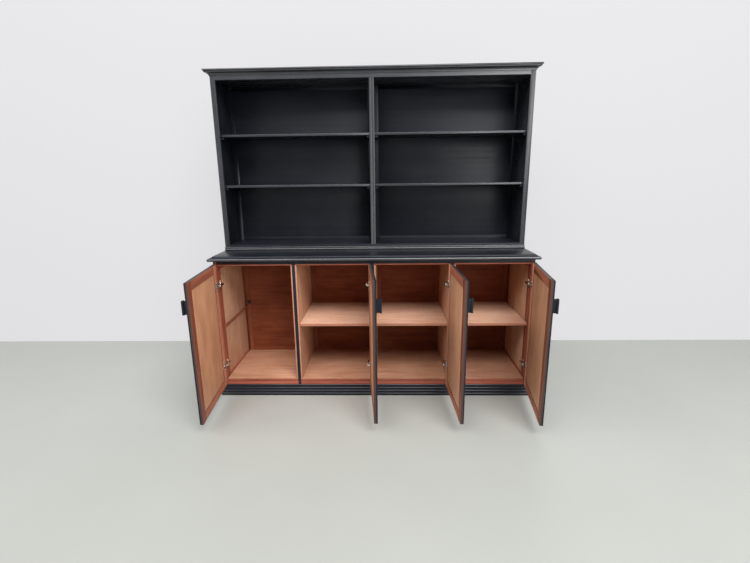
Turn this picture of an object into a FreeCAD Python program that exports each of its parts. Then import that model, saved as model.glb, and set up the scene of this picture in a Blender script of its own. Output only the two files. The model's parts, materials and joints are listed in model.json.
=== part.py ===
"""Black-painted credenza with four framed doors and an open bookcase hutch.

The origin is the middle of the base cabinet's footprint, on the floor. +Z is up, the front faces -Y and
+X is to the right of someone who faces the front. Lengths are in millimetres and angles in degrees.
The doors are modelled open, as they stand at rest.
"""
import FreeCAD, Part
import os

# Base cabinet
base_width = 2000.0
base_depth = 515.0
side_thickness = 21.0
divider_thickness = 36.0
outer_divider_offset = 495.0
plinth_height = 72.0
floor_rail_height = 22.0
floor_rail_thickness = 20.0
floor_groove = 3.0
floor_thickness = 18.0
bay_height = 766.0
top_rail_height = 30.0
top_rail_thickness = 20.0

# Framed sides and backs
panel_thickness = 8.0
panel_recess = 4.0
panel_groove_depth = 9.0
panel_play = 1.0
side_front_stile = 60.0
side_back_stile_show = 28.0
side_top_rail = 60.0
side_bottom_rail_show = 16.0
back_thickness = 18.0
back_stile_show = 28.0
back_bottom_rail_show = 20.0
back_top_rail_show = 28.0
cable_hole_diameter = 30.0
cable_hole_inset = 22.0
cable_hole_height = 386.0

# Worktop
worktop_thickness = 30.0
worktop_overhang = 27.0
worktop_edge_shares = ((0.10, 0.97), ((0.22, 0.74), (0.52, 0.66)), ((0.84, 0.60), (1.0, 0.42)))
worktop_lip_shares = ((1.0, 0.24), ((0.94, 0.10), (0.78, 0.0)))

# Plinth
plinth_rail_thickness = 20.0
reed_count = 4
reed_step = 5.0
reed_nose = 4.0

# Middle shelves and the cleats that carry them
shelf_thickness = 18.0
shelf_setback = 12.0
shelf_play = 0.5
lower_bay_height = 362.0
cleat_height = 12.0
cleat_thickness = 10.0
cleat_setback = 40.0

# Doors
door_thickness = 21.0
door_gap = 17.0
door_side_reveal = 2.0
door_standoff = 2.4
door_plinth_gap = 2.0
door_top_lap = 10.0
door_stile = 50.0
door_rail = 50.0
door_panel_thickness = 10.0
door_panel_recess = 3.0
door_groove_depth = 8.0
door_arris = 3.0
door_open_angles = (84.9, 94.6, 92.1, 82.3)
door_hinge_sides = ("left", "right", "right", "right")
pivot_inset = 8.0
pivot_depth = 8.5

# Concealed hinges: the cup in the door, and the arm and plate in the cabinet
hinge_inset = 137.0
cup_bore_diameter = 35.0
cup_bore_depth = 12.5
cup_edge_distance = 21.5
cup_wall = 1.0
cup_play = 0.15
cup_flange_height = 64.0
cup_flange_width = 22.0
cup_flange_thickness = 1.0
cup_screw_spacing = 45.0
hinge_pin_diameter = 2.0
hinge_pin_length = 19.0
knuckle_diameter = 4.4
knuckle_play = 0.3
knuckle_height = 7.0
tongue_thickness = 2.6
nose_offset = 12.0
nose_width = 8.0
nose_seat = 6.0
arm_offset = 16.0
arm_width = 10.0
arm_length = 56.0
arm_height = 14.0
plate_wing_height = 50.0
plate_wing_depth = 18.0
plate_wing_thickness = 3.0
plate_wing_setback = 28.0
plate_setback = 16.0
plate_height = 12.0
plate_screw_spacing = 32.0
hinge_screw_diameter = 3.5
hinge_screw_length = 12.0
hinge_screw_head = 7.0
hinge_screw_head_height = 1.2
screw_play = 0.1

# Pulls
pull_drop = 138.0
pull_lip_height = 79.0
pull_lip_width = 22.0
pull_lip_depth = 12.0
pull_neck_height = 76.0
pull_neck_width = 10.0
pull_neck_depth = 17.0
pull_arris = 2.5
pull_screw_spacing = 64.0
pull_screw_diameter = 4.0
pull_screw_head = 8.0
pull_screw_head_height = 2.5
pull_screw_bite = 12.0

# Hutch
hutch_depth = 279.0
hutch_side_thickness = 20.0
hutch_divider_thickness = 18.0
face_frame_thickness = 20.0
hutch_stile = 31.0
hutch_centre_stile = 31.0
centre_groove_width = 3.0
centre_groove_depth = 2.0
hutch_foot_height = 36.0
hutch_board_thickness = 18.0
hutch_shelf_thickness = 16.0
hutch_openings = (375.0, 302.0, 319.0)
hutch_top_rail_show = 25.0
hutch_cleat_height = 14.0
hutch_cleat_thickness = 26.0
hutch_cleat_length = 210.0
hutch_cleat_setback = 6.0
bead_height = 11.0
bead_projection = 4.0
bead_shares = (1.0, 0.6)
cornice_height = 35.0
cornice_projection = 32.0
cornice_cover = 4.0
cornice_shares = ((0.13, 0.0), (0.13, 0.12), ((0.22, 0.34), (0.46, 0.46)), (0.58, 0.46),
                  ((0.80, 0.54), (0.84, 0.70)), (0.78, 0.76), (1.0, 0.76), (1.0, 1.0))
hutch_screw_diameter = 6.0
hutch_screw_head = 12.0
hutch_screw_head_height = 4.0
hutch_screw_bite = 26.0

# A cutter runs this far past the face it opens, and edges this close count as in one plane
overrun = 5.0
same_plane = 0.01

# Heights, from the floor up
floor_bottom = plinth_height + floor_rail_height
floor_top = floor_bottom + floor_thickness
mid_shelf_bottom = floor_top + lower_bay_height
top_rail_bottom = floor_top + bay_height
worktop_bottom = top_rail_bottom + top_rail_height
worktop_top = worktop_bottom + worktop_thickness
hutch_bottom_top = worktop_top + hutch_foot_height
hutch_shelf_bottoms = (hutch_bottom_top + hutch_openings[0],
                       hutch_bottom_top + hutch_openings[0] + hutch_shelf_thickness + hutch_openings[1])
hutch_opening_top = hutch_shelf_bottoms[1] + hutch_shelf_thickness + hutch_openings[2]
cornice_bottom = hutch_opening_top + hutch_top_rail_show
cornice_top = cornice_bottom + cornice_height
hutch_body_top = cornice_top - cornice_cover

# Upright planes
base_left = -base_width / 2
base_right = base_width / 2
base_front = -base_depth / 2
base_back = base_depth / 2
inner_left = base_left + side_thickness
inner_right = base_right - side_thickness
inner_back = base_back - back_thickness
divider_centres = (-outer_divider_offset, 0.0, outer_divider_offset)
divider_faces = [(x - divider_thickness / 2, x + divider_thickness / 2) for x in divider_centres]
bays = list(zip([inner_left] + [right for left, right in divider_faces],
                [left for left, right in divider_faces] + [inner_right]))
hutch_front = base_back - hutch_depth
hutch_carcass_front = hutch_front + face_frame_thickness
hutch_inner_left = base_left + hutch_side_thickness
hutch_inner_right = base_right - hutch_side_thickness
hutch_halves = ((hutch_inner_left, -hutch_divider_thickness / 2),
                (hutch_divider_thickness / 2, hutch_inner_right))

# Doors when shut
door_bottom = plinth_height + door_plinth_gap
door_height = top_rail_bottom + door_top_lap - door_bottom
door_inner_face = base_front - door_standoff
pivot_y = door_inner_face - pivot_depth
door_spans = list(zip([base_left + door_side_reveal] + [x + door_gap / 2 for x in divider_centres],
                      [x - door_gap / 2 for x in divider_centres] + [base_right - door_side_reveal]))
hinge_heights = (hinge_inset, door_height - hinge_inset)
pivots = [left + pivot_inset if side == "left" else right - pivot_inset
          for (left, right), side in zip(door_spans, door_hinge_sides)]

along_x = FreeCAD.Vector(1, 0, 0)
along_y = FreeCAD.Vector(0, 1, 0)
along_z = FreeCAD.Vector(0, 0, 1)


def point(x, y, z):
    return FreeCAD.Vector(x, y, z)


def block(low, high):
    """A rectangular block between two opposite corners."""
    return Part.makeBox(high[0] - low[0], high[1] - low[1], high[2] - low[2], point(*low))


def rod(centre, direction, diameter, length):
    return Part.makeCylinder(diameter / 2, length, point(*centre), direction)


def group(shapes):
    return Part.makeCompound(shapes)


def moved(shape, x, y, z):
    return shape.translated(point(x, y, z))


def swapped(shape):
    """The mirror image of a shape across the plane X = 0."""
    return shape.mirror(point(0, 0, 0), along_x)


def eased_uprights(shape, x, radius):
    """Round the vertical edges of a shape that lie in the plane of the given X."""
    edges = [edge for edge in shape.Edges
             if max(abs(vertex.X - x) for vertex in edge.Vertexes) < same_plane
             and edge.BoundBox.YLength < same_plane]
    return shape.makeFillet(radius, edges)


def outline(start, steps, place):
    """A face bounded by steps that each hold an end, or the middle and the end of an arc."""
    edges = []
    here = start
    for step in list(steps) + [start]:
        if isinstance(step[0], tuple):
            middle, end = step
            edges.append(Part.Arc(place(*here), place(*middle), place(*end)).toShape())
        else:
            end = step
            edges.append(Part.LineSegment(place(*here), place(*end)).toShape())
        here = end
    return Part.Face(Part.Wire(edges))


def sized(shares, width, bottom, height):
    """Profile steps in millimetres, from shares of a moulding's projection and height."""
    def one(step):
        if isinstance(step[0], tuple):
            return tuple(one(part) for part in step)
        return (step[0] * width, bottom + step[1] * height)
    return [one(step) for step in shares]


def plan_prism(corners, bottom, top):
    """An upright prism over a plan of straight sides."""
    face = outline(corners[0], corners[1:], lambda x, y: point(x, y, bottom))
    return face.extrude(point(0, 0, top - bottom))


def mitred_runs(start, steps, reach, bottom, top, front):
    """A moulding round three sides of the cabinet: the front run, then the left and right returns.

    The profile is given as distances outward from the cabinet's faces and heights.
    """
    far = reach * 2
    front_face = outline(start, steps, lambda out, z: point(base_left - far, front - out, z))
    front_run = front_face.extrude(point(base_width + far * 2, 0, 0))
    front_plan = ((base_left, front), (base_left - far, front - far),
                  (base_right + far, front - far), (base_right, front))
    runs = [front_run.common(plan_prism(front_plan, bottom - far, top + far))]
    for side in (-1, 1):
        wall = side * base_width / 2
        end_face = outline(start, steps, lambda out, z: point(wall + side * out, front - far, z))
        end_run = end_face.extrude(point(0, base_back - front + far, 0))
        end_plan = ((wall, front), (wall + side * far, front - far),
                    (wall + side * far, base_back), (wall, base_back))
        runs.append(end_run.common(plan_prism(end_plan, bottom - far, top + far)))
    return runs


def framed_wall(stiles, height, thickness, rails, groove, depth):
    """Stiles, rails and panels of a framed wall that runs along +X from the origin.

    Each stile is given by its two places along X, the rails by the bottom and the top rail's height,
    and the panel groove by its two places through the wall's thickness.
    """
    bottom_rail, top_rail = rails
    near, far = groove
    uprights = [block((left, 0, 0), (right, thickness, height)) for left, right in stiles]
    crosses = []
    panels = []
    for number in range(len(stiles) - 1):
        left = stiles[number][1]
        right = stiles[number + 1][0]
        hollow = block((left - depth, near, bottom_rail - depth),
                       (right + depth, far, height - top_rail + depth))
        panels.append(block((left - depth + panel_play, near, bottom_rail - depth + panel_play),
                            (right + depth - panel_play, far, height - top_rail + depth - panel_play)))
        tenons = []
        for low, high in ((0, bottom_rail), (height - top_rail, height)):
            shoulder = (high - low) / 4
            tenon = block((left - depth, near, low + shoulder), (right + depth, far, high - shoulder))
            rail = block((left, 0, low), (right, thickness, high))
            crosses.append(rail.fuse(tenon).removeSplitter().cut(hollow))
            tenons.append(tenon)
        for index in (number, number + 1):
            uprights[index] = uprights[index].cut([hollow] + tenons)
    return uprights, crosses, panels


def plinth_frame():
    """The hidden frame under the cabinet, with a cross rail under each divider."""
    front_inner = base_front + plinth_rail_thickness
    back_inner = base_back - plinth_rail_thickness
    members = [block((base_left, base_front, 0), (base_right, front_inner, plinth_height)),
               block((base_left, back_inner, 0), (base_right, base_back, plinth_height))]
    for left in (base_left, base_right - plinth_rail_thickness):
        members.append(block((left, front_inner, 0),
                             (left + plinth_rail_thickness, back_inner, plinth_height)))
    for centre in divider_centres:
        members.append(block((centre - plinth_rail_thickness / 2, front_inner, 0),
                             (centre + plinth_rail_thickness / 2, back_inner, floor_bottom)))
    return group(members)


def reeded_plinth():
    """Reeds that step outward going down, each with a rounded nose."""
    pitch = plinth_height / reed_count
    steps = []
    for reed in range(reed_count):
        top = plinth_height - reed * pitch
        out = (reed + 1) * reed_step
        corner = reed_nose * (1 - 0.5 ** 0.5)
        steps.append((out - reed_nose, top))
        steps.append(((out - corner, top - corner), (out, top - reed_nose)))
        steps.append((out, top - pitch))
    steps.append((0.0, 0.0))
    return mitred_runs((0.0, plinth_height), steps, reed_count * reed_step, 0.0, plinth_height, base_front)


def base_sides():
    """The left and right sides as frames, and their panels."""
    height = worktop_bottom - plinth_height
    stiles = ((0.0, side_front_stile),
              (base_depth - back_thickness - side_back_stile_show, base_depth))
    rails = (floor_top - plinth_height + side_bottom_rail_show, side_top_rail)
    groove = (panel_recess, panel_recess + panel_thickness)
    uprights, crosses, panels = framed_wall(stiles, height, side_thickness, rails, groove,
                                            panel_groove_depth)
    frame = group(uprights + crosses)
    panel = group(panels)
    turned = []
    for shape in (frame, panel):
        copy = shape.copy()
        copy.rotate(point(0, 0, 0), along_z, 90)
        turned.append(moved(copy, inner_left, base_front, plinth_height))
    left_frame, left_panel = turned
    return left_frame, swapped(left_frame), group([left_panel, swapped(left_panel)])


def dividers():
    notch = block((inner_left, base_front - overrun, top_rail_bottom),
                  (inner_right, base_front + top_rail_thickness, worktop_bottom + overrun))
    return [block((left, base_front, floor_top), (right, inner_back, worktop_bottom)).cut(notch)
            for left, right in divider_faces]


def floor_rail():
    """The rail under the floor's front edge, with a shadow groove along its top."""
    rail = block((inner_left, base_front, plinth_height),
                 (inner_right, base_front + floor_rail_thickness, floor_bottom))
    groove = block((inner_left - overrun, base_front - overrun, floor_bottom - floor_groove),
                   (inner_right + overrun, base_front + floor_groove, floor_bottom + overrun))
    return rail.cut(groove)


def base_back_wall():
    """The framed back, with a stile behind each divider and a cable hole in the first bay."""
    inner = [(left - back_stile_show - inner_left, right + back_stile_show - inner_left)
             for left, right in divider_faces]
    width = inner_right - inner_left
    stiles = [(0.0, back_stile_show)] + inner + [(width - back_stile_show, width)]
    rails = (floor_top - plinth_height + back_bottom_rail_show, top_rail_height + back_top_rail_show)
    groove = (panel_recess, panel_recess + panel_thickness)
    uprights, crosses, panels = framed_wall(stiles, worktop_bottom - plinth_height, back_thickness, rails,
                                            groove, panel_groove_depth)
    cable_hole = rod((cable_hole_inset, -overrun, floor_top - plinth_height + cable_hole_height), along_y,
                     cable_hole_diameter, back_thickness + overrun * 2)
    frame = moved(group([uprights[0].cut(cable_hole)] + uprights[1:] + crosses),
                  inner_left, inner_back, plinth_height)
    panels = moved(group([panels[0].cut(cable_hole)] + panels[1:]), inner_left, inner_back, plinth_height)
    return frame, panels


def hutch_screw_places():
    return [((left + right) / 2, hutch_front + face_frame_thickness / 2) for left, right in bays]


def hutch_screw_holes():
    length = worktop_thickness + hutch_screw_bite + overrun
    return [rod((x, y, worktop_bottom - overrun), along_z, hutch_screw_diameter + screw_play * 2, length)
            for x, y in hutch_screw_places()]


def hutch_screws():
    """Screws that hold the hutch down, driven up through the worktop from inside the bays."""
    screws = []
    for x, y in hutch_screw_places():
        head = rod((x, y, worktop_bottom - hutch_screw_head_height), along_z, hutch_screw_head,
                   hutch_screw_head_height)
        shank = rod((x, y, worktop_bottom - hutch_screw_head_height), along_z, hutch_screw_diameter,
                    hutch_screw_head_height + worktop_thickness + hutch_screw_bite - overrun)
        screws.append(head.fuse(shank).removeSplitter())
    return group(screws)


def worktop():
    """The top board, with its moulded edge on the front and both ends."""
    core = block((base_left, base_front, worktop_bottom), (base_right, base_back, worktop_top))
    shares = worktop_edge_shares + worktop_lip_shares
    steps = sized(shares, worktop_overhang, worktop_bottom, worktop_thickness) + [(0.0, worktop_bottom)]
    edges = mitred_runs((0.0, worktop_top), steps, worktop_overhang, worktop_bottom, worktop_top, base_front)
    return core.fuse(edges).removeSplitter().cut(hutch_screw_holes())


def middle_shelf(bay):
    left, right = bays[bay]
    return block((left + shelf_play, base_front + shelf_setback, mid_shelf_bottom),
                 (right - shelf_play, inner_back - shelf_play, mid_shelf_bottom + shelf_thickness))


def base_cleats():
    """Shelf cleats on both walls of every bay."""
    cleats = []
    for left, right in bays:
        for wall in (left, right - cleat_thickness):
            cleats.append(block((wall, base_front + cleat_setback, mid_shelf_bottom - cleat_height),
                                (wall + cleat_thickness, inner_back, mid_shelf_bottom)))
    return group(cleats)


def wood_screw(place, direction, head_diameter, head_height, shank_diameter, length):
    """A screw whose head stands on the place given, with its shank running on in the direction."""
    back = point(*place) - direction * head_height
    head = rod((back.x, back.y, back.z), direction, head_diameter, head_height)
    shank = rod((back.x, back.y, back.z), direction, shank_diameter, head_height + length)
    return head.fuse(shank).removeSplitter()


def cup_screw_places():
    """Where the cup screws go through the flange, in the door's own frame."""
    return [(cup_edge_distance, door_thickness + cup_flange_thickness, height + side * cup_screw_spacing / 2)
            for height in hinge_heights for side in (-1, 1)]


def pull_screw_places(width):
    middle = door_height - pull_drop
    return [(width - door_stile / 2, door_thickness - pull_screw_head_height,
             middle + side * pull_screw_spacing / 2) for side in (-1, 1)]


def door_stiles_and_rails(width):
    """The door's frame and panel, left-hinged and shut, from its hinge edge, outer face and bottom."""
    stiles = ((0.0, door_stile), (width - door_stile, width))
    far = door_thickness - door_panel_recess
    uprights, crosses, panels = framed_wall(stiles, door_height, door_thickness, (door_rail, door_rail),
                                            (far - door_panel_thickness, far), door_groove_depth)
    hinge_stile = eased_uprights(uprights[0], 0.0, door_arris)
    free_stile = eased_uprights(uprights[1], width, door_arris)
    for height in hinge_heights:
        bore = rod((cup_edge_distance, door_thickness - cup_bore_depth, height), along_y,
                   cup_bore_diameter, cup_bore_depth + overrun)
        hinge_stile = hinge_stile.cut(bore)
    screw_depth = hinge_screw_length + overrun
    for x, y, z in cup_screw_places():
        hinge_stile = hinge_stile.cut(rod((x, y - screw_depth, z), along_y,
                                          hinge_screw_diameter + screw_play * 2, screw_depth))
    for x, y, z in pull_screw_places(width):
        free_stile = free_stile.cut([
            rod((x, -overrun, z), along_y, pull_screw_diameter + screw_play * 2,
                door_thickness + overrun * 2),
            rod((x, y, z), along_y, pull_screw_head + screw_play * 2, pull_screw_head_height + overrun)])
    return group([hinge_stile, free_stile]), group(crosses), panels[0]


def pull(width):
    """The block pull on the outer face: a neck that stands on the stile, and a wider lip plate."""
    x = width - door_stile / 2
    z = door_height - pull_drop
    neck = block((x - pull_neck_width / 2, -pull_neck_depth, z - pull_neck_height / 2),
                 (x + pull_neck_width / 2, 0, z + pull_neck_height / 2))
    neck = neck.cut([rod((place[0], -pull_screw_bite - screw_play, place[2]), along_y,
                         pull_screw_diameter + screw_play * 2, pull_screw_bite + overrun)
                     for place in pull_screw_places(width)])
    lip = block((x - pull_lip_width / 2, -pull_neck_depth - pull_lip_depth, z - pull_lip_height / 2),
                (x + pull_lip_width / 2, -pull_neck_depth, z + pull_lip_height / 2))
    return group([neck, lip.makeFillet(pull_arris, lip.Edges)])


def hinge_cup(height):
    """A hinge cup let into the door, with its flange, screw holes and pin."""
    outer = cup_bore_diameter - cup_play * 2
    base = door_thickness - cup_bore_depth + cup_play
    dish = rod((cup_edge_distance, base, height), along_y, outer, door_thickness - base)
    flange = block((cup_edge_distance - cup_flange_width / 2, door_thickness,
                    height - cup_flange_height / 2),
                   (cup_edge_distance + cup_flange_width / 2, door_thickness + cup_flange_thickness,
                    height + cup_flange_height / 2))
    hollow = rod((cup_edge_distance, base + cup_wall, height), along_y, outer - cup_wall * 2,
                 cup_bore_depth + overrun)
    holes = [rod((x, y - cup_flange_thickness - overrun, z), along_y,
                 hinge_screw_diameter + screw_play * 2, cup_flange_thickness + overrun * 2)
             for x, y, z in cup_screw_places()]
    pin = rod((pivot_inset, door_thickness - pivot_depth, height - hinge_pin_length / 2), along_z,
              hinge_pin_diameter, hinge_pin_length)
    return dish.fuse(flange).removeSplitter().cut([hollow] + holes).fuse(pin).removeSplitter()


def door_fittings(width):
    """Everything of metal that rides on the door beside its pull."""
    pieces = [hinge_cup(height) for height in hinge_heights]
    pieces += [wood_screw(place, -along_y, hinge_screw_head, hinge_screw_head_height,
                          hinge_screw_diameter, hinge_screw_length) for place in cup_screw_places()]
    pieces += [pull_screw(place) for place in pull_screw_places(width)]
    return group(pieces)


def pull_screw(place):
    """A screw let into the inner face, running through the stile into the pull's neck."""
    x, y, z = place
    head = rod((x, y, z), along_y, pull_screw_head, pull_screw_head_height)
    shank = rod((x, -pull_screw_bite, z), along_y, pull_screw_diameter, y + pull_screw_bite)
    return head.fuse(shank).removeSplitter()


def hung(shape, number):
    """Set a left-hinged, shut door piece in its doorway, and open it to where it rests."""
    left, right = door_spans[number]
    angle = door_open_angles[number]
    if door_hinge_sides[number] == "left":
        placed = moved(shape, left, door_inner_face - door_thickness, door_bottom)
        turn = -angle
    else:
        placed = moved(swapped(shape), right, door_inner_face - door_thickness, door_bottom)
        turn = angle
    placed = placed.copy()
    placed.rotate(point(pivots[number], pivot_y, 0), along_z, turn)
    return placed


def wall_offset(number):
    """How far the wall that carries a door's hinges stands from the pivot, into the doorway."""
    if door_hinge_sides[number] == "left":
        return bays[number][0] - pivots[number]
    return pivots[number] - bays[number][1]


def hinge_arm(height):
    """The cabinet's half of a hinge: a knuckle round the cup's pin, a tongue, a nose and the arm."""
    low = height - knuckle_height / 2
    deep = pivot_y - knuckle_diameter / 2
    knuckle = rod((0, pivot_y, low), along_z, knuckle_diameter, knuckle_height)
    tongue = block((0, deep, low), (nose_offset + nose_width, deep + tongue_thickness,
                                    low + knuckle_height))
    nose = block((nose_offset, deep, height - arm_height / 2),
                 (nose_offset + nose_width, base_front + nose_seat, height + arm_height / 2))
    arm = block((arm_offset, base_front, height - arm_height / 2),
                (arm_offset + arm_width, base_front + arm_length, height + arm_height / 2))
    eye = rod((0, pivot_y, low - overrun), along_z, hinge_pin_diameter + knuckle_play * 2,
              knuckle_height + overrun * 2)
    return knuckle.fuse([tongue, nose, arm]).removeSplitter().cut(eye)


def plate_screw_places(number, height):
    y = base_front + plate_wing_setback + plate_wing_depth / 2
    return [(wall_offset(number) + plate_wing_thickness, y, height + side * plate_screw_spacing / 2)
            for side in (-1, 1)]


def hinge_plate(number, height):
    """The mounting plate: wings that screw to the wall, and the bar that the arm is clipped to."""
    wall = wall_offset(number)
    wings = block((wall, base_front + plate_wing_setback, height - plate_wing_height / 2),
                  (wall + plate_wing_thickness, base_front + plate_wing_setback + plate_wing_depth,
                   height + plate_wing_height / 2))
    bar = block((wall, base_front + plate_setback, height - plate_height / 2),
                (arm_offset, base_front + arm_length, height + plate_height / 2))
    holes = [rod((0, y, z), along_x, hinge_screw_diameter + screw_play * 2, x + overrun)
             for x, y, z in plate_screw_places(number, height)]
    return wings.fuse(bar).removeSplitter().cut(holes)


def plate_screws(number, height):
    return [wood_screw(place, -along_x, hinge_screw_head, hinge_screw_head_height,
                       hinge_screw_diameter, plate_wing_thickness + hinge_screw_length)
            for place in plate_screw_places(number, height)]


def on_wall(shape, number):
    """Set a piece that is given from the pivot of a left-hinged door beside its own door's pivot."""
    if door_hinge_sides[number] == "left":
        return moved(shape, pivots[number], 0, door_bottom)
    return moved(swapped(shape), pivots[number], 0, door_bottom)


def carcass_hinges():
    """Arms, and plates with their screws, for all eight hinges."""
    arms = []
    plates = []
    for number in range(len(pivots)):
        for height in hinge_heights:
            arms.append(on_wall(hinge_arm(height), number))
            plates.append(on_wall(hinge_plate(number, height), number))
            plates += [on_wall(screw, number) for screw in plate_screws(number, height)]
    return group(arms), group(plates)


def screw_holes_in_walls():
    """Pilot holes for the hinge plate screws."""
    holes = []
    for number in range(len(pivots)):
        for height in hinge_heights:
            for x, y, z in plate_screw_places(number, height):
                depth = hinge_screw_length + screw_play
                start = wall_offset(number) - depth
                hole = rod((start, y, z), along_x, hinge_screw_diameter + screw_play * 2, depth + overrun)
                holes.append(on_wall(hole, number))
    return holes


def hutch_back_wall():
    """The hutch's framed back, with a stile behind the divider."""
    width = hutch_inner_right - hutch_inner_left
    middle = width / 2
    half = hutch_divider_thickness / 2 + back_stile_show
    stiles = ((0.0, back_stile_show), (middle - half, middle + half), (width - back_stile_show, width))
    rails = (hutch_foot_height + back_bottom_rail_show,
             hutch_body_top - hutch_opening_top + back_bottom_rail_show)
    groove = (panel_recess, panel_recess + panel_thickness)
    uprights, crosses, panels = framed_wall(stiles, hutch_body_top - worktop_top, back_thickness, rails,
                                            groove, panel_groove_depth)
    return [moved(group(shapes), hutch_inner_left, inner_back, worktop_top)
            for shapes in (uprights + crosses, panels)]


def hutch_carcass():
    """The hutch's two sides, divider, bottom and top board."""
    side = block((base_left, hutch_carcass_front, worktop_top),
                 (hutch_inner_left, base_back, hutch_body_top))
    divider = block((-hutch_divider_thickness / 2, hutch_carcass_front, hutch_bottom_top),
                    (hutch_divider_thickness / 2, inner_back, hutch_opening_top))
    bottom = block((hutch_inner_left, hutch_carcass_front, hutch_bottom_top - hutch_board_thickness),
                   (hutch_inner_right, inner_back, hutch_bottom_top))
    top = block((hutch_inner_left, hutch_carcass_front, hutch_opening_top),
                (hutch_inner_right, inner_back, hutch_opening_top + hutch_board_thickness))
    return side, swapped(side), divider, bottom, top


def face_frame():
    """Outer stiles, centre stile with its groove, top rail and foot rail."""
    inner = base_left + hutch_stile
    stile = block((base_left, hutch_front, worktop_top), (inner, hutch_carcass_front, hutch_body_top))
    centre = block((-hutch_centre_stile / 2, hutch_front, hutch_bottom_top),
                   (hutch_centre_stile / 2, hutch_carcass_front, hutch_opening_top))
    groove = block((-centre_groove_width / 2, hutch_front - overrun, hutch_bottom_top - overrun),
                   (centre_groove_width / 2, hutch_front + centre_groove_depth, hutch_opening_top + overrun))
    top_rail = block((inner, hutch_front, hutch_opening_top), (-inner, hutch_carcass_front, hutch_body_top))
    foot_rail = block((inner, hutch_front, worktop_top), (-inner, hutch_carcass_front, hutch_bottom_top))
    return group([stile, swapped(stile)]), centre.cut(groove), top_rail, foot_rail.cut(hutch_screw_holes())


def hutch_shelves(bottom):
    return group([block((left + shelf_play, hutch_carcass_front, bottom),
                        (right - shelf_play, inner_back - shelf_play, bottom + hutch_shelf_thickness))
                  for left, right in hutch_halves])


def hutch_cleats():
    """A cleat under each end of each hutch shelf."""
    front = hutch_carcass_front + hutch_cleat_setback
    cleats = []
    for bottom in hutch_shelf_bottoms:
        for left, right in hutch_halves:
            for wall in (left, right - hutch_cleat_thickness):
                cleats.append(block((wall, front, bottom - hutch_cleat_height),
                                    (wall + hutch_cleat_thickness, front + hutch_cleat_length, bottom)))
    return group(cleats)


def hutch_bead():
    """Two beads round the foot of the hutch, the lower one standing further out."""
    steps = [(0.0, worktop_top)]
    bottom = worktop_top
    for share in bead_shares:
        out = bead_projection * share
        steps.append((out / 2, bottom))
        steps.append(((out, bottom + bead_height / 2), (out / 2, bottom + bead_height)))
        bottom += bead_height
    return mitred_runs((0.0, bottom), steps, bead_projection, worktop_top, bottom, hutch_front)


def cornice():
    steps = sized(cornice_shares, cornice_projection, cornice_bottom, cornice_height)
    return mitred_runs((0.0, cornice_bottom), steps + [(0.0, cornice_top)], cornice_projection,
                       cornice_bottom, cornice_top, hutch_front)


def base_nodes():
    reeds = reeded_plinth()
    left_frame, right_frame, side_panels = base_sides()
    holes = screw_holes_in_walls()
    left_divider, centre_divider, right_divider = [divider.cut(holes) for divider in dividers()]
    back_frame, back_panels = base_back_wall()
    arms, plates = carcass_hinges()
    return {
        "plinth_frame": plinth_frame(),
        "plinth_front": reeds[0],
        "plinth_returns": group(reeds[1:]),
        "floor_board": block((inner_left, base_front, floor_bottom), (inner_right, inner_back, floor_top)),
        "floor_rail": floor_rail(),
        "base_side_left": left_frame.cut(holes),
        "base_side_right": right_frame.cut(holes),
        "base_side_panels": side_panels,
        "divider_left": left_divider,
        "divider_centre": centre_divider,
        "divider_right": right_divider,
        "base_back_frame": back_frame,
        "base_back_panels": back_panels,
        "top_rail": block((inner_left, base_front, top_rail_bottom),
                          (inner_right, base_front + top_rail_thickness, worktop_bottom)),
        "worktop": worktop(),
        "shelf_bay_2": middle_shelf(1),
        "shelf_bay_3": middle_shelf(2),
        "shelf_bay_4": middle_shelf(3),
        "base_cleats": base_cleats(),
        "hinge_arms": arms,
        "hinge_plates": plates,
    }


def hutch_nodes():
    side_left, side_right, divider, bottom, top = hutch_carcass()
    back_frame, back_panels = hutch_back_wall()
    stiles, centre_stile, top_rail, foot_rail = face_frame()
    mouldings = cornice()
    return {
        "hutch_side_left": side_left,
        "hutch_side_right": side_right,
        "hutch_divider": divider,
        "hutch_bottom": bottom,
        "hutch_top": top,
        "hutch_back_frame": back_frame,
        "hutch_back_panels": back_panels,
        "hutch_stiles": stiles,
        "hutch_centre_stile": centre_stile,
        "hutch_top_rail": top_rail,
        "hutch_foot_rail": foot_rail,
        "hutch_bead": group(hutch_bead()),
        "hutch_shelves_lower": hutch_shelves(hutch_shelf_bottoms[0]),
        "hutch_shelves_upper": hutch_shelves(hutch_shelf_bottoms[1]),
        "hutch_cleats": hutch_cleats(),
        "hutch_screws": hutch_screws(),
        "cornice_front": mouldings[0],
        "cornice_returns": group(mouldings[1:]),
    }


def door_nodes():
    nodes = {}
    for number, (left, right) in enumerate(door_spans):
        width = right - left
        stiles, rails, panel = door_stiles_and_rails(width)
        pieces = {"stiles": stiles, "rails": rails, "panel": panel, "pull": pull(width),
                  "fittings": door_fittings(width)}
        for name, shape in pieces.items():
            nodes[f"door_{number + 1}_{name}"] = hung(shape, number)
    return nodes


os.makedirs("parts", exist_ok=True)
for node, shape in {**base_nodes(), **hutch_nodes(), **door_nodes()}.items():
    shape.exportStep(f"parts/{node}.step")
    print(node, len(shape.Solids), "solids", round(shape.Volume), "mm3", shape.isValid())
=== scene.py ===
"""The finish of a black-painted credenza: its paint, bare timber and metal, with floor, light and camera.

Lengths are in metres, in the part's own frame: +Z is up, the front faces -Y and the origin is on the floor,
in the middle of the base cabinet. The doors stand open at rest.
"""
import json
import math
from functools import cache
from typing import NamedTuple

import bmesh
import bpy
from bpy.props import FloatProperty, FloatVectorProperty, IntProperty, PointerProperty
from mathutils import Matrix, Vector


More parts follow.
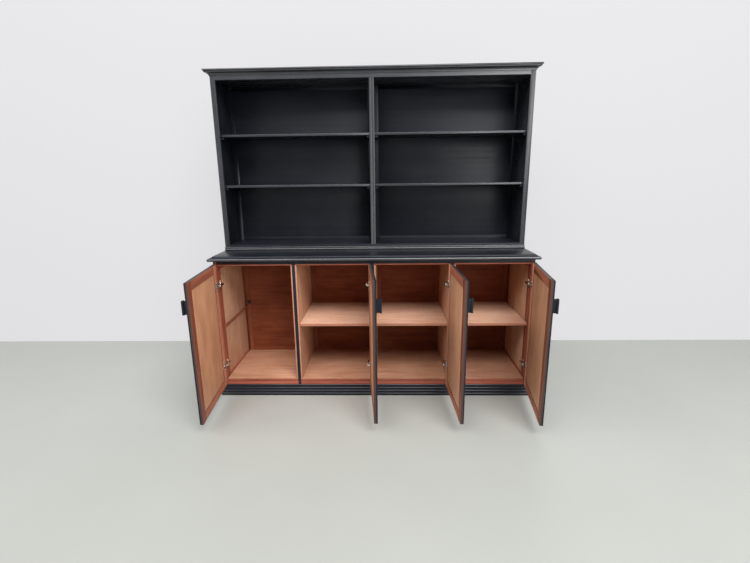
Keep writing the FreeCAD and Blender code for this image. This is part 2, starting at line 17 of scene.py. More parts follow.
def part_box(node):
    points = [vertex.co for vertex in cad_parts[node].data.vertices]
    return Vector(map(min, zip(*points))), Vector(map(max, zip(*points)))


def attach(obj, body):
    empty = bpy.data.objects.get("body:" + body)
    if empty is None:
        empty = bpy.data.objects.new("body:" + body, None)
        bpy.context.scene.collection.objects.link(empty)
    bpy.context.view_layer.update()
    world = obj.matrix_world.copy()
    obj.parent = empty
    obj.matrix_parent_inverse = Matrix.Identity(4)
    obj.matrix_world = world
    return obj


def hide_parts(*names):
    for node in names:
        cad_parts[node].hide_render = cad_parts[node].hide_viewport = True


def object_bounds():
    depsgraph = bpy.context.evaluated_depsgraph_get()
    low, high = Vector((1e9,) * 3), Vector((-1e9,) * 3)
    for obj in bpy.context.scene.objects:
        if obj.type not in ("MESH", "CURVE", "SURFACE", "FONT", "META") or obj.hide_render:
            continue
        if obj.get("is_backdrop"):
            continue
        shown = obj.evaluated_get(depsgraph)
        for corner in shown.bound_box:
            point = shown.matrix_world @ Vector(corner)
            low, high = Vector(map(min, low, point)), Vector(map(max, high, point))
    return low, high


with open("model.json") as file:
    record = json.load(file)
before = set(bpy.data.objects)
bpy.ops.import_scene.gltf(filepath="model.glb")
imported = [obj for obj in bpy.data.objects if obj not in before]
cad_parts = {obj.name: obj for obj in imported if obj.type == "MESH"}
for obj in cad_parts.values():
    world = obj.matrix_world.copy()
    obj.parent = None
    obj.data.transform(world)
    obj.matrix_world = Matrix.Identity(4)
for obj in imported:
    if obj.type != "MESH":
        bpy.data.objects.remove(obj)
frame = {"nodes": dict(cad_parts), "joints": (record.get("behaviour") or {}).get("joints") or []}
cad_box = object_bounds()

bl_info = {
    "name": "Painted Credenza",
    "version": (1, 0, 0),
    "blender": (4, 5, 0),
    "location": "3D View > Sidebar > Credenza",
    "description": "Finishes a framed cabinet and its open hutch in black paint, bare timber and nickel",
    "category": "Object",
}

# Corners of a solid that are nearer than this are one, as are those that agree to so many decimals
WELD = 1e-5
CORNER_DECIMALS = 5

# Faces that turn less than FLAT are one, and edges that turn more than SHARP may be rounded
FLAT = math.radians(0.5)
SHARP = math.radians(35)

# A corner this near a cutting plane lies on it, and a direction this far along an axis faces that way
PLANE = 1e-6
FACING = 0.7

# Every board of a node starts this far on from the last in the timber's figure
BOARD_STEP = Vector((3.71, 1.37, 0.83))
GOLDEN_SHARE = 0.618034

X_AXIS = Vector((1.0, 0.0, 0.0))
Y_AXIS = Vector((0.0, 1.0, 0.0))
Z_AXIS = Vector((0.0, 0.0, 1.0))
ALONG_X, ALONG_Z = 0, 2


def length(name, description, default):
    """A size in metres that a user may change."""
    return FloatProperty(name=name, description=description, default=default, min=0.0, precision=4,
                         subtype="DISTANCE", unit="LENGTH")


def colour(name, description, default):
    """A colour that a user may change."""
    return FloatVectorProperty(name=name, description=description, default=default, size=3, min=0.0,
                               max=1.0, subtype="COLOR")


def amount(name, description, default, top=1.0):
    """A number from 0 to a top that a user may change."""
    return FloatProperty(name=name, description=description, default=default, min=0.0, max=top)


class CredenzaSizes(bpy.types.PropertyGroup):
    """Sizes of the finish, which never change the parts themselves."""
    arris: length("Board arris", "Width of the rounding on a board's long edges", 0.0012)
    shelf_arris: length("Hutch shelf arris", "Width of the rounding on the hutch shelves' edges", 0.0035)
    moulding_arris: length("Moulding arris", "Width of the rounding on a moulding's edges", 0.0005)
    back_arris: length("Back frame arris", "Width of the rounding on the hutch's back frame", 0.0002)
    metal_arris: length("Metal arris", "Width of the rounding on the fittings' edges", 0.0002)
    shortest_arris: length("Shortest rounded edge", "Timber edges shorter than this stay crisp", 0.012)
    shortest_metal_arris: length("Shortest rounded metal edge", "Metal edges under this stay crisp", 0.004)
    arris_segments: IntProperty(name="Arris segments", description="Facets across each rounding",
                                default=2, min=1, max=6)
    divider_strip: length("Divider paint", "Width of the black strip down each divider's front", 0.020)
    side_paint: length("Side paint", "How far the paint comes round onto each side's front edge", 0.012)
    rail_bare: length("Bare rail", "Height of the unpainted band along the foot of the top rail", 0.008)
    # The deeper black along the top of the foot rail is painted shade
    foot_shade: length("Foot rail shade", "Height of the deeper black along the top of the foot rail", 0.014)
    screw_reach: length("Screw reach", "Fittings narrower than this are screws", 0.0085)
    # The plug is a dark piece that stands in for the shade seen through the cable hole
    plug_radius: length("Plug radius", "Half the width of the cable hole's rubber plug", 0.0149)
    plug_depth: length("Plug depth", "How far the plug's face lies behind the back's front face", 0.005)
    plug_thickness: length("Plug thickness", "Thickness of the plug", 0.0065)
    plug_rim: length("Plug rim", "Width of the rim round the plug's dished face", 0.0025)


class CredenzaColours(bpy.types.PropertyGroup):
    """Colours of the paint, the timber and the metal."""
    paint: colour("Paint", "Black satin paint", (0.0175, 0.0185, 0.0235))
    paint_pale: colour("Paint, thin", "Where the black paint is brushed out thin", (0.034, 0.036, 0.043))
    # Mostly painted shade: a deeper black inside the hutch, under things and in hollows; pulls and strips too
    inner_paint: colour("Inner paint", "Deeper blue-black inside the hutch", (0.0070, 0.0080, 0.0125))
    inner_paint_pale: colour("Inner paint, thin", "Its thinner strokes", (0.0130, 0.0145, 0.0210))
    rubbed: colour("Rubbed paint", "Paint worn brown along the door edges", (0.062, 0.036, 0.029))
    # Its black stands in for the shade seen through the cable hole
    rubber: colour("Rubber", "Black rubber of the cable plug", (0.008, 0.008, 0.008))
    hardwood: colour("Hardwood", "Red-brown hardwood of the frames", (0.38, 0.115, 0.064))
    hardwood_dark: colour("Hardwood figure", "Darker figure in the hardwood", (0.23, 0.060, 0.034))
    rail: colour("Door rail", "Lighter hardwood of the door rails", (0.60, 0.21, 0.125))
    rail_dark: colour("Door rail figure", "Darker figure in the door rails", (0.40, 0.125, 0.072))
    stile: colour("Hinge stile", "Paler hardwood of the stiles that carry the hinges", (0.78, 0.345, 0.205))
    stile_dark: colour("Hinge stile figure", "Darker figure in those stiles", (0.55, 0.22, 0.126))
    veneer: colour("Veneer", "Pale veneer of the door panels", (0.80, 0.42, 0.245))
    veneer_dark: colour("Veneer figure", "Darker figure in the veneer", (0.60, 0.28, 0.15))
    inner: colour("Inner veneer", "Greyer veneer of the sides and dividers", (0.70, 0.42, 0.27))
    inner_dark: colour("Inner veneer figure", "Darker figure on the sides and dividers", (0.50, 0.27, 0.16))
    shelf: colour("Shelf", "Sanded veneer on the shelves", (0.76, 0.485, 0.345))
    shelf_dark: colour("Shelf figure", "Darker figure on the shelves", (0.61, 0.325, 0.21))
    ground: colour("Floor veneer", "Browner veneer on the cabinet's floor", (0.60, 0.33, 0.212))
    ground_dark: colour("Floor veneer figure", "Darker figure on the cabinet's floor", (0.44, 0.207, 0.12))
    back: colour("Back", "Red-brown veneer of the back panels", (0.27, 0.080, 0.036))
    back_dark: colour("Back figure", "Darker figure in the back panels", (0.165, 0.042, 0.019))
    floor_edge: colour("Floor edge", "Orange-red front edge of the floor", (0.44, 0.125, 0.075))
    floor_edge_dark: colour("Floor edge figure", "Darker figure in the floor's edge", (0.30, 0.072, 0.039))
    shelf_edge: colour("Shelf edge", "Redder front edge of the shelves", (0.50, 0.23, 0.145))
    shelf_edge_dark: colour("Shelf edge figure", "Darker figure in the shelf edges", (0.38, 0.155, 0.092))
    lipping: colour("Bare lipping", "Sanded bare edges beside the paint", (0.58, 0.30, 0.205))
    lipping_dark: colour("Lipping figure", "Darker figure in the bare edges", (0.40, 0.17, 0.108))
    nickel: colour("Nickel", "Plated hinges", (0.80, 0.77, 0.72))
    steel: colour("Steel", "Screws", (0.60, 0.58, 0.55))


class CredenzaStage(bpy.types.PropertyGroup):
    """The room round the cabinet."""
    floor: colour("Floor", "Pale floor", (0.452, 0.462, 0.433))
    wall: colour("Wall", "Pale backdrop, by the light that falls on it", (0.58, 0.58, 0.585))
    wall_glow: colour("Wall, even part", "Its own pale tone, which evens it out", (0.79, 0.782, 0.802))
    wall_evenness: amount("Wall evenness", "Share of the wall's look that is its own tone", 0.75)
    wall_distance: length("Backdrop distance", "How far behind the origin the backdrop stands", 0.71)
    room_light: amount("Room light", "Strength of the room's own light from all round", 0.16, 5.0)
    room_tint: colour("Room tint", "Colour of the room's own light", (0.96, 0.98, 1.0))
    room_tone: amount("Room tone", "How pale the room looks to the camera and in gloss", 0.9, 1.0)
    lamp_reach: length("Lamp distance", "How far the lamps stand from the cabinet", 8.5)
    key_power: amount("Key power", "Watts of the large lamp above the camera, to its right", 455.0, 5000.0)
    fill_power: amount("Fill power", "Watts of the lamp above the camera, to its left", 285.0, 5000.0)
    front_power: amount("Front power", "Watts of the lamp above the camera, straight in front", 235.0, 5000.0)
    side_power: amount("Side power", "Watts of the lamp far to the left", 150.0, 5000.0)
    low_power: amount("Low power", "Watts of the low window-like lamp on the right", 170.0, 5000.0)
    rear_power: amount("Rear power", "Watts of the lamp behind the backdrop", 170.0, 5000.0)


def sizes():
    """The sizes as they are set now."""
    return bpy.context.scene.credenza_sizes


def colours():
    """The colours as they are set now."""
    return bpy.context.scene.credenza_colours


def stage_settings():
    """The room's settings as they are now."""
    return bpy.context.scene.credenza_stage


# Materials

# How often a pattern repeats in a metre: along, across and through a board
BRUSH_MARKS = (5.0, 420.0, 420.0)
PAINT_STREAKS = (1.6, 46.0, 46.0)
FRAME_FIGURE = (3.0, 70.0, 70.0)
EDGE_FIGURE = (2.5, 70.0, 70.0)
VENEER_FIGURE = (3.2, 62.0, 62.0)
BACK_FIGURE = (3.0, 55.0, 55.0)
BOARD_FIGURE = (4.0, 48.0, 48.0)
MOTTLE = (4.5, 11.0, 11.0)
PORES = (26.0, 700.0, 700.0)

# The same along the part's own X, Y and Z
PAINT_CLOUDS = (5.0, 5.0, 5.0)
METAL_SCRATCHES = (900.0, 900.0, 160.0)
METAL_PATCHES = (60.0, 60.0, 60.0)
RUBBER_GRIT = (700.0, 700.0, 700.0)
FLOOR_PATCHES = (1.3, 1.3, 1.3)
FLOOR_MARKS = (14.0, 14.0, 14.0)

# From none of a thing to all of it
FULL = (0.0, 1.0)

# The range of a pattern, or of the sum of two, over which a thing comes in
THIN_PAINT = (0.75, 1.3)
BROWN_PAINT = (0.8, 1.25)
EDGE_CLOUD = (0.3, 0.7)
# Where a door's edge turns from painted shade along its outer side to rubbed brown
EDGE_SHADE_TO_BROWN = (0.75, 1.1)
PALE_FIGURE = (0.74, 1.26)
OPEN_PORES = (0.30, 0.52)
ONE_PATTERN = (0.3, 0.7)
TWO_PATTERNS = (0.6, 1.4)
TWO_PATTERNS_NARROW = (0.7, 1.3)

# How much the roughness of a finish varies
PAINT_VARIES = 0.18
TIMBER_VARIES = 0.16
METAL_SMOOTHER, METAL_ROUGHER = 0.08, 0.12
EDGE_ROUGHNESS = (0.4, 0.55)
RUBBER_ROUGHNESS = (0.6, 0.8)
FLOOR_ROUGHNESS = (0.36, 0.5)

PAINT_IOR, TIMBER_IOR, FLOOR_IOR = 1.5, 1.45, 1.4
EDGE_SHINE = (0.15, 0.3)
FLOOR_SHINE = 0.2
WALL_ROUGHNESS = 0.9

# Depths of relief in metres, and how strongly each shows
RELIEF, RUBBER_RELIEF, METAL_RELIEF = 0.0003, 0.0002, 0.0001
PAINT_BUMP, TIMBER_BUMP, RUBBER_BUMP, FLOOR_BUMP = 0.2, 0.3, 0.3, 0.1

# Other tones of a colour, as shares of it
METAL_SHADE = 0.72
RUBBER_BLOOM = 1.8
FLOOR_DARK, FLOOR_PALE = 0.93, 1.05

# A Mix node's colour sockets have the names of its other sockets, so they go by number
MIX_SHARE, MIX_FIRST, MIX_SECOND, MIX_RESULT = 0, 6, 7, 2


class Paint(NamedTuple):
    """A brushed paint: the name of its colour, its share of brown, and its lowest roughness."""
    material: str
    tint: str
    brown: float
    roughness: float
    shine: float


class Timber(NamedTuple):
    """A bare timber: its figure, how dark its pores are, and its lowest roughness."""
    material: str
    figure: tuple
    pores: float
    roughness: float
    shine: float = 0.4


class Metal(NamedTuple):
    """A plated metal, with its usual roughness."""
    material: str
    roughness: float
    scratch_depth: float


PAINTS = {
    "black": Paint("black_paint", "paint", brown=0.04, roughness=0.19, shine=0.5),
    "front_black": Paint("front_black_paint", "paint", brown=0.04, roughness=0.19, shine=0.75),
    # A darker black on faces that look up: painted shade where the light from above falls
    "top_black": Paint("top_black_paint", "inner_paint", brown=0.0, roughness=0.24, shine=0.34),
    # A deeper black, mostly painted shade inside the hutch, under things and in hollows
    "inner_black": Paint("inner_black_paint", "inner_paint", brown=0.0, roughness=0.30, shine=0.22),
}

TIMBERS = {
    "hardwood": Timber("red_hardwood", FRAME_FIGURE, pores=0.30, roughness=0.42),
    "stile": Timber("hinge_stile", FRAME_FIGURE, pores=0.22, roughness=0.45),
    "rail": Timber("door_rail", FRAME_FIGURE, pores=0.26, roughness=0.42),
    "veneer": Timber("pale_veneer", VENEER_FIGURE, pores=0.22, roughness=0.48),
    "inner": Timber("inner_veneer", VENEER_FIGURE, pores=0.22, roughness=0.5, shine=0.3),
    "shelf": Timber("shelf_veneer", BOARD_FIGURE, pores=0.20, roughness=0.45),
    "ground": Timber("floor_veneer", BOARD_FIGURE, pores=0.22, roughness=0.45),
    "back": Timber("back_veneer", BACK_FIGURE, pores=0.24, roughness=0.5, shine=0.15),
    "floor_edge": Timber("floor_edge", EDGE_FIGURE, pores=0.2, roughness=0.45),
    "shelf_edge": Timber("shelf_edge", EDGE_FIGURE, pores=0.12, roughness=0.5),
    "lipping": Timber("bare_lipping", EDGE_FIGURE, pores=0.2, roughness=0.5),
}

METALS = {
    "nickel": Metal("plated_nickel", roughness=0.20, scratch_depth=0.15),
    "steel": Metal("screw_steel", roughness=0.34, scratch_depth=0.25),
}


def new_tree(name):
    """An empty material and its node tree."""
    material = bpy.data.materials.new(name)
    material.use_nodes = True
    material.node_tree.nodes.clear()
    return material, material.node_tree


def put(tree, kind, settings, inputs):
    """Add a node, set its settings, and fill each input with a value or a link."""
    node = tree.nodes.new(kind)
    for key, value in settings.items():
        setattr(node, key, value)
    for key, value in inputs.items():
        if isinstance(value, bpy.types.NodeSocket):
            tree.links.new(value, node.inputs[key])
        else:
            node.inputs[key].default_value = value
    return node


def opaque(value):
    """A colour with full alpha."""
    return (*value, 1.0)


def toned(value, share):
    """A darker or paler tone of a colour, with full alpha."""
    return opaque([part * share for part in value])


def kept(tree, name):
    """The attribute that each piece keeps on its points by this name."""
    return put(tree, "ShaderNodeAttribute", {"attribute_name": name}, {})


def grain_vector(tree):
    """Distances along, across and through the board, as each piece keeps them."""
    return kept(tree, "grain").outputs["Vector"]


def object_vector(tree):
    """Distances along the part's own axes."""
    return put(tree, "ShaderNodeTexCoord", {}, {}).outputs["Object"]


def drawn_out(tree, vector, repeats, detail=3.0, roughness=0.6):
    """A noise stretched differently in each direction."""
    mapping = put(tree, "ShaderNodeMapping", {}, {"Vector": vector, "Scale": repeats})
    return put(tree, "ShaderNodeTexNoise", {}, {"Vector": mapping.outputs["Vector"], "Scale": 1.0,
                                                "Detail": detail, "Roughness": roughness}).outputs["Fac"]


def spread(tree, value, source, target):
    """Map one range of a value to another."""
    return put(tree, "ShaderNodeMapRange", {}, {"Value": value, "From Min": source[0], "From Max": source[1],
                                                "To Min": target[0], "To Max": target[1]}).outputs["Result"]


def blend(tree, share, first, second, way="MIX"):
    """Mix two colours, which are values or links."""
    return put(tree, "ShaderNodeMix", {"data_type": "RGBA", "blend_type": way},
               {MIX_SHARE: share, MIX_FIRST: first, MIX_SECOND: second}).outputs[MIX_RESULT]


def darkened(tree, colour_link, share):
    """Multiply a colour by a grey."""
    grey = put(tree, "ShaderNodeCombineColor", {}, {"Red": share, "Green": share, "Blue": share})
    return blend(tree, 1.0, colour_link, grey.outputs["Color"], "MULTIPLY")


def sum_of(tree, first, second):
    """Add two values."""
    return put(tree, "ShaderNodeMath", {"operation": "ADD"}, {0: first, 1: second}).outputs["Value"]


def surface(tree, inputs, height, relief, strength):
    """The shader and output, with a bump from a height in the range 0 to 1."""
    bump = put(tree, "ShaderNodeBump", {}, {"Height": height, "Distance": relief, "Strength": strength})
    shader = put(tree, "ShaderNodeBsdfPrincipled", {}, {**inputs, "Normal": bump.outputs["Normal"]})
    put(tree, "ShaderNodeOutputMaterial", {}, {"Surface": shader.outputs["BSDF"]})


def brushed_paint(paint):
    """Satin paint brushed along the board, over a grain that still shows through."""
    material, tree = new_tree(paint.material)
    tone = colours()
    deep, pale = getattr(tone, paint.tint), getattr(tone, f"{paint.tint}_pale")
    along = grain_vector(tree)
    brush = drawn_out(tree, along, BRUSH_MARKS)
    streak = drawn_out(tree, along, PAINT_STREAKS, detail=4.0)
    cloud = drawn_out(tree, object_vector(tree), PAINT_CLOUDS, roughness=0.55)
    thin = spread(tree, sum_of(tree, streak, cloud), THIN_PAINT, FULL)
    film = blend(tree, thin, opaque(deep), opaque(pale))
    brown = spread(tree, sum_of(tree, brush, cloud), BROWN_PAINT, (0.0, paint.brown))
    film = blend(tree, brown, film, opaque(tone.rubbed))
    roughness = spread(tree, sum_of(tree, streak, brush), TWO_PATTERNS,
                       (paint.roughness, paint.roughness + PAINT_VARIES))
    surface(tree, {"Base Color": film, "Roughness": roughness, "IOR": PAINT_IOR,
                   "Specular IOR Level": paint.shine}, sum_of(tree, brush, streak), RELIEF, PAINT_BUMP)
    return material


def rubbed_and_shaded_edge_paint():
    """Paint on a door's edges: painted shade in deeper black along the outer side, where the rounded edge
    turns from the light, and rubbed brown along the inner one.
    """
    material, tree = new_tree("rubbed_paint")
    tone = colours()
    brush = drawn_out(tree, grain_vector(tree), BRUSH_MARKS)
    cloud = drawn_out(tree, object_vector(tree), PAINT_CLOUDS, roughness=0.55)
    thin = spread(tree, cloud, EDGE_CLOUD, FULL)
    # Painted shade: the deeper black along the outer side of the edge
    whole = blend(tree, thin, opaque(tone.inner_paint), opaque(tone.inner_paint_pale))
    worn = spread(tree, sum_of(tree, kept(tree, "depth").outputs["Fac"], brush), EDGE_SHADE_TO_BROWN, FULL)
    film = blend(tree, worn, whole, opaque(tone.rubbed))
    roughness = spread(tree, brush, ONE_PATTERN, EDGE_ROUGHNESS)
    shine = spread(tree, worn, FULL, EDGE_SHINE)
    surface(tree, {"Base Color": film, "Roughness": roughness, "IOR": PAINT_IOR,
                   "Specular IOR Level": shine}, brush, RELIEF, PAINT_BUMP)
    return material


def bare_timber(name, timber):
    """Bare timber: broad figure drawn out along the board, with fine dark pores and a silky sheen."""
    material, tree = new_tree(timber.material)
    tone = colours()
    pale, dark = getattr(tone, name), getattr(tone, f"{name}_dark")
    along = grain_vector(tree)
    figure = drawn_out(tree, along, timber.figure, detail=5.0, roughness=0.62)
    mottle = drawn_out(tree, along, MOTTLE)
    pores = drawn_out(tree, along, PORES, detail=2.0, roughness=0.7)
    light = spread(tree, sum_of(tree, figure, mottle), PALE_FIGURE, FULL)
    grown = blend(tree, light, opaque(dark), opaque(pale))
    shade = spread(tree, pores, OPEN_PORES, (1.0 - timber.pores, 1.0))
    relief = sum_of(tree, figure, pores)
    roughness = spread(tree, relief, TWO_PATTERNS_NARROW,
                       (timber.roughness, timber.roughness + TIMBER_VARIES))
    surface(tree, {"Base Color": darkened(tree, grown, shade), "Roughness": roughness, "IOR": TIMBER_IOR,
                   "Specular IOR Level": timber.shine}, relief, RELIEF, TIMBER_BUMP)
    return material


def plated_metal(name, metal):
    """Plated metal with fine rubbing marks."""
    material, tree = new_tree(metal.material)
    tint = getattr(colours(), name)
    place = object_vector(tree)
    scratches = drawn_out(tree, place, METAL_SCRATCHES)
    patches = drawn_out(tree, place, METAL_PATCHES, roughness=0.55)
    plating = blend(tree, patches, toned(tint, METAL_SHADE), opaque(tint))
    roughness = spread(tree, sum_of(tree, scratches, patches), TWO_PATTERNS,
                       (metal.roughness - METAL_SMOOTHER, metal.roughness + METAL_ROUGHER))
    surface(tree, {"Base Color": plating, "Roughness": roughness, "Metallic": 1.0}, scratches,
            METAL_RELIEF, metal.scratch_depth)
    return material


def rubber():
    """Dull black rubber with a faint mould texture, for the plug that stands in for shade in the cable hole.
    """
    material, tree = new_tree("plug_rubber")
    tone = colours().rubber
    grit = drawn_out(tree, object_vector(tree), RUBBER_GRIT)
    black = blend(tree, grit, opaque(tone), toned(tone, RUBBER_BLOOM))
    roughness = spread(tree, grit, ONE_PATTERN, RUBBER_ROUGHNESS)
    surface(tree, {"Base Color": black, "Roughness": roughness}, grit, RUBBER_RELIEF, RUBBER_BUMP)
    return material


def floor_finish():
    """A smooth pale floor with faint wear."""
    material, tree = new_tree("pale_floor")
    tint = stage_settings().floor
    place = object_vector(tree)
    patches = drawn_out(tree, place, FLOOR_PATCHES, detail=4.0, roughness=0.55)
    marks = drawn_out(tree, place, FLOOR_MARKS)
    pale = blend(tree, patches, toned(tint, FLOOR_DARK), toned(tint, FLOOR_PALE))
    roughness = spread(tree, sum_of(tree, patches, marks), TWO_PATTERNS_NARROW, FLOOR_ROUGHNESS)
    surface(tree, {"Base Color": pale, "Roughness": roughness, "IOR": FLOOR_IOR,
                   "Specular IOR Level": FLOOR_SHINE}, marks, RELIEF, FLOOR_BUMP)
    return material


def background_rays(tree):
    """1 for the rays that show a background: the camera's, and those in gloss and glass."""
    path = put(tree, "ShaderNodeLightPath", {}, {})
    shown = sum_of(tree, path.outputs["Is Camera Ray"], path.outputs["Is Glossy Ray"])
    return sum_of(tree, shown, path.outputs["Is Transmission Ray"])


def mixed(tree, share, first, second):
    """A mix of two shaders."""
    return put(tree, "ShaderNodeMixShader", {}, {0: share, 1: first, 2: second}).outputs["Shader"]


def wall_finish():
    """A pale wall that shows from the front alone, to the camera and in gloss, and shades nothing."""
    material, tree = new_tree("pale_wall")
    stage = stage_settings()
    geometry = put(tree, "ShaderNodeNewGeometry", {}, {})
    shown = put(tree, "ShaderNodeMath", {"operation": "SUBTRACT", "use_clamp": True},
                {0: background_rays(tree), 1: geometry.outputs["Backfacing"]}).outputs["Value"]
    lit = put(tree, "ShaderNodeBsdfPrincipled", {}, {"Base Color": opaque(stage.wall),
                                                     "Roughness": WALL_ROUGHNESS}).outputs["BSDF"]
    even = put(tree, "ShaderNodeEmission", {}, {"Color": opaque(stage.wall_glow),
                                                "Strength": 1.0}).outputs["Emission"]
    clear = put(tree, "ShaderNodeBsdfTransparent", {}, {}).outputs["BSDF"]
    pale = mixed(tree, stage.wall_evenness, lit, even)
    put(tree, "ShaderNodeOutputMaterial", {}, {"Surface": mixed(tree, shown, clear, pale)})
    return material


@cache
def finish(name):
    """One of the object's finishes, made when it is first asked for."""
    if name in PAINTS:
        return brushed_paint(PAINTS[name])
    if name in TIMBERS:
        return bare_timber(name, TIMBERS[name])
    if name in METALS:
        return plated_metal(name, METALS[name])
    return {"rubbed": rubbed_and_shaded_edge_paint, "rubber": rubber}[name]()


# Boards cut free from a node's mesh

def solids_of(mesh):
    """The triangles of each closed solid of a node, which come one solid after another."""
    open_edges = set()
    solid = []
    for triangle in mesh.polygons:
        corners = [tuple(round(part, CORNER_DECIMALS) for part in mesh.vertices[index].co)
                   for index in triangle.vertices]
        solid.append(triangle.index)
        for edge in zip(corners, corners[1:] + corners[:1]):
            if edge[::-1] in open_edges:
                open_edges.remove(edge[::-1])
            elif edge[0] != edge[1]:
                open_edges.add(edge)
        if not open_edges:
            yield solid
            solid = []


def corners_of(faces):
    """The corners of some faces, each once and in the same order each run."""
    return list(dict.fromkeys(vertex for face in faces for vertex in face.verts))


def edges_of(faces):
    """The edges of some faces, each once and in the same order each run."""
    return list(dict.fromkeys(edge for face in faces for edge in face.edges))


def boards_of(node, place):
    """A node's solids in one mesh, each welded by itself and with its flat faces made whole."""
    mesh = frame["nodes"][node].data
    boards = bmesh.new()
    boards.from_mesh(mesh)
    bmesh.ops.transform(boards, matrix=place, verts=boards.verts)
    layer = boards.faces.layers.int.new("board")
    boards.faces.ensure_lookup_table()
    solids = [[boards.faces[index] for index in solid] for solid in solids_of(mesh)]
    for number, faces in enumerate(solids):
        for face in faces:
            face[layer] = number
        bmesh.ops.remove_doubles(boards, verts=corners_of(faces), dist=WELD)
    bmesh.ops.dissolve_limit(boards, angle_limit=FLAT, verts=boards.verts, edges=boards.edges,
                             delimit={"SEAM"})
    return boards


def each_board(boards):
    """Each board's number, faces, lowest corner and highest corner."""
    layer = boards.faces.layers.int["board"]
    groups = {}
    for face in boards.faces:
        groups.setdefault(face[layer], []).append(face)
    for number, faces in sorted(groups.items()):
        points = [vertex.co for face in faces for vertex in face.verts]
        low = Vector([min(point[axis] for point in points) for axis in range(3)])
        high = Vector([max(point[axis] for point in points) for axis in range(3)])
        yield number, faces, low, high


def split(boards, place, direction, chosen):
    """Score a line where a plane crosses the chosen faces."""
    faces = [face for face in boards.faces if chosen(face.normal)]
    bmesh.ops.bisect_plane(boards, geom=faces + edges_of(faces) + corners_of(faces), dist=PLANE,
                           plane_co=place, plane_no=direction)


def lay_grain(boards, run):
    """Keep on each point how far it lies along, across and through its own board, and in from its front."""
    grain = boards.verts.layers.float_vector.new("grain")
    depth = boards.verts.layers.float.new("depth")
    for number, faces, low, high in each_board(boards):
        spans = high - low
        order = sorted(range(3), key=lambda axis: -spans[axis])
        if run is not None:
            order.remove(run)
            order.insert(0, run)
        start = BOARD_STEP * (number * GOLDEN_SHARE + spans.length)
        for vertex in corners_of(faces):
            vertex[grain] = Vector([vertex.co[axis] for axis in order]) + start
            vertex[depth] = (vertex.co.y - low.y) / spans.y


def mark_arrises(boards, shortest, lengthwise):
    """Weight the long outer edges for rounding, or those along the board alone, and keep the rest crisp."""
    weight = boards.edges.layers.float.new("bevel_weight_edge")
    for _, faces, low, high in each_board(boards):
        spans = list(high - low)
        axis = spans.index(max(spans))
        for edge in edges_of(faces):
            if len(edge.link_faces) != 2 or edge.calc_face_angle(0.0) < SHARP:
                continue
            run = (edge.verts[1].co - edge.verts[0].co).normalized()
            rounded = edge.is_convex and edge.calc_length() > shortest
            if lengthwise and abs(run[axis]) < FACING:
                rounded = False
            edge.smooth = rounded
            edge[weight] = 1.0 if rounded else 0.0


def add_object(name, data):
    """A new object in the scene."""
    made = bpy.data.objects.new(name, data)
    bpy.context.scene.collection.objects.link(made)
    return made


def add_mesh(name, shape, materials):
    """A new object from a bmesh, which this frees."""
    mesh = bpy.data.meshes.new(name)
    shape.to_mesh(mesh)
    shape.free()
    for material in materials:
        mesh.materials.append(material)
    return add_object(name, mesh)


def add_piece(name, boards, finishes, arris):
    """A piece from finished boards, with its edges rounded."""
    for face in boards.faces:
        face.smooth = True
    piece = add_mesh(name, boards, map(finish, finishes))
    bevel = piece.modifiers.new("arris", "BEVEL")
    bevel.limit_method = "WEIGHT"
    bevel.width = arris
    bevel.segments = sizes().arris_segments
    bevel.use_clamp_overlap = False
    bevel.harden_normals = True
    return piece


def dress(node, slot, finish_rule, run=None, cuts=(), arris=None, shortest=None, lengthwise=False,
          body="carcass", place=None):
    """Replace a node by a finished copy of it: cut along the paint lines, with its grain and rounded edges.

    The rule gives the finish of a face from its middle, its normal and its board's lowest and highest corner.
    The run is the axis that the grain follows, or else each board's longest. Each cut is a point and a
    direction of a plane, and a test of the faces that it scores. The place turns a door shut while it is
    worked on.
    """
    place = place or Matrix.Identity(4)
    boards = boards_of(node, place)
    mark_arrises(boards, sizes().shortest_arris if shortest is None else shortest, lengthwise)
    for spot, direction, chosen in cuts:
        split(boards, spot, direction, chosen)
    lay_grain(boards, run)
    finishes = []
    for _, faces, low, high in each_board(boards):
        for face in faces:
            wanted = finish_rule(face.calc_center_median(), face.normal, low, high)
            if wanted not in finishes:
                finishes.append(wanted)
            face.material_index = finishes.index(wanted)
    bmesh.ops.transform(boards, matrix=place.inverted(), verts=boards.verts)
    piece = add_piece(f"finished_{node}", boards, finishes, sizes().arris if arris is None else arris)
    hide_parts(node)
    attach(piece, body)


def dress_metal(node, slot, finish_rule, **door):
    """Replace a node of metal parts, whose edges are barely rounded."""
    dress(node, slot, finish_rule, arris=sizes().metal_arris, shortest=sizes().shortest_metal_arris, **door)


def plain(name):
    """A rule that gives every face the same finish."""
    return lambda middle, normal, low, high: name


def faces_front(normal):
    """Whether a face looks to the front."""
    return normal.y < -FACING


def faces_back(normal):
    """Whether a face looks to the back."""
    return normal.y > FACING


def faces_up(normal):
    """Whether a face looks up."""
    return normal.z > FACING


def faces_down(normal):
    """Whether a face looks down."""
    return normal.z < -FACING


# Base cabinet

DIVIDERS = ("divider_left", "divider_centre", "divider_right")
STRIP_CENTRES = [sum(corner.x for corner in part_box(node)) / 2 for node in DIVIDERS]
PLUG_SIDES = 48
QUARTER_TURN = math.radians(90)

# How far up the worktop's moulded edge its upper hollow begins, which takes the deeper black as painted shade
WORKTOP_HOLLOW_SHARE = 0.68


def side_rule(middle, normal, low, high):
    """A side: black outside and a little round its front corner, bare inside."""
    edge = low.x if middle.x < 0 else high.x
    if faces_back(normal) or abs(middle.x - edge) < sizes().side_paint:
        return "black"
    # Boards at the rear take the back's darker veneer, partly as painted shade in the rear corner
    return "back" if low.y > 0 else "hardwood"


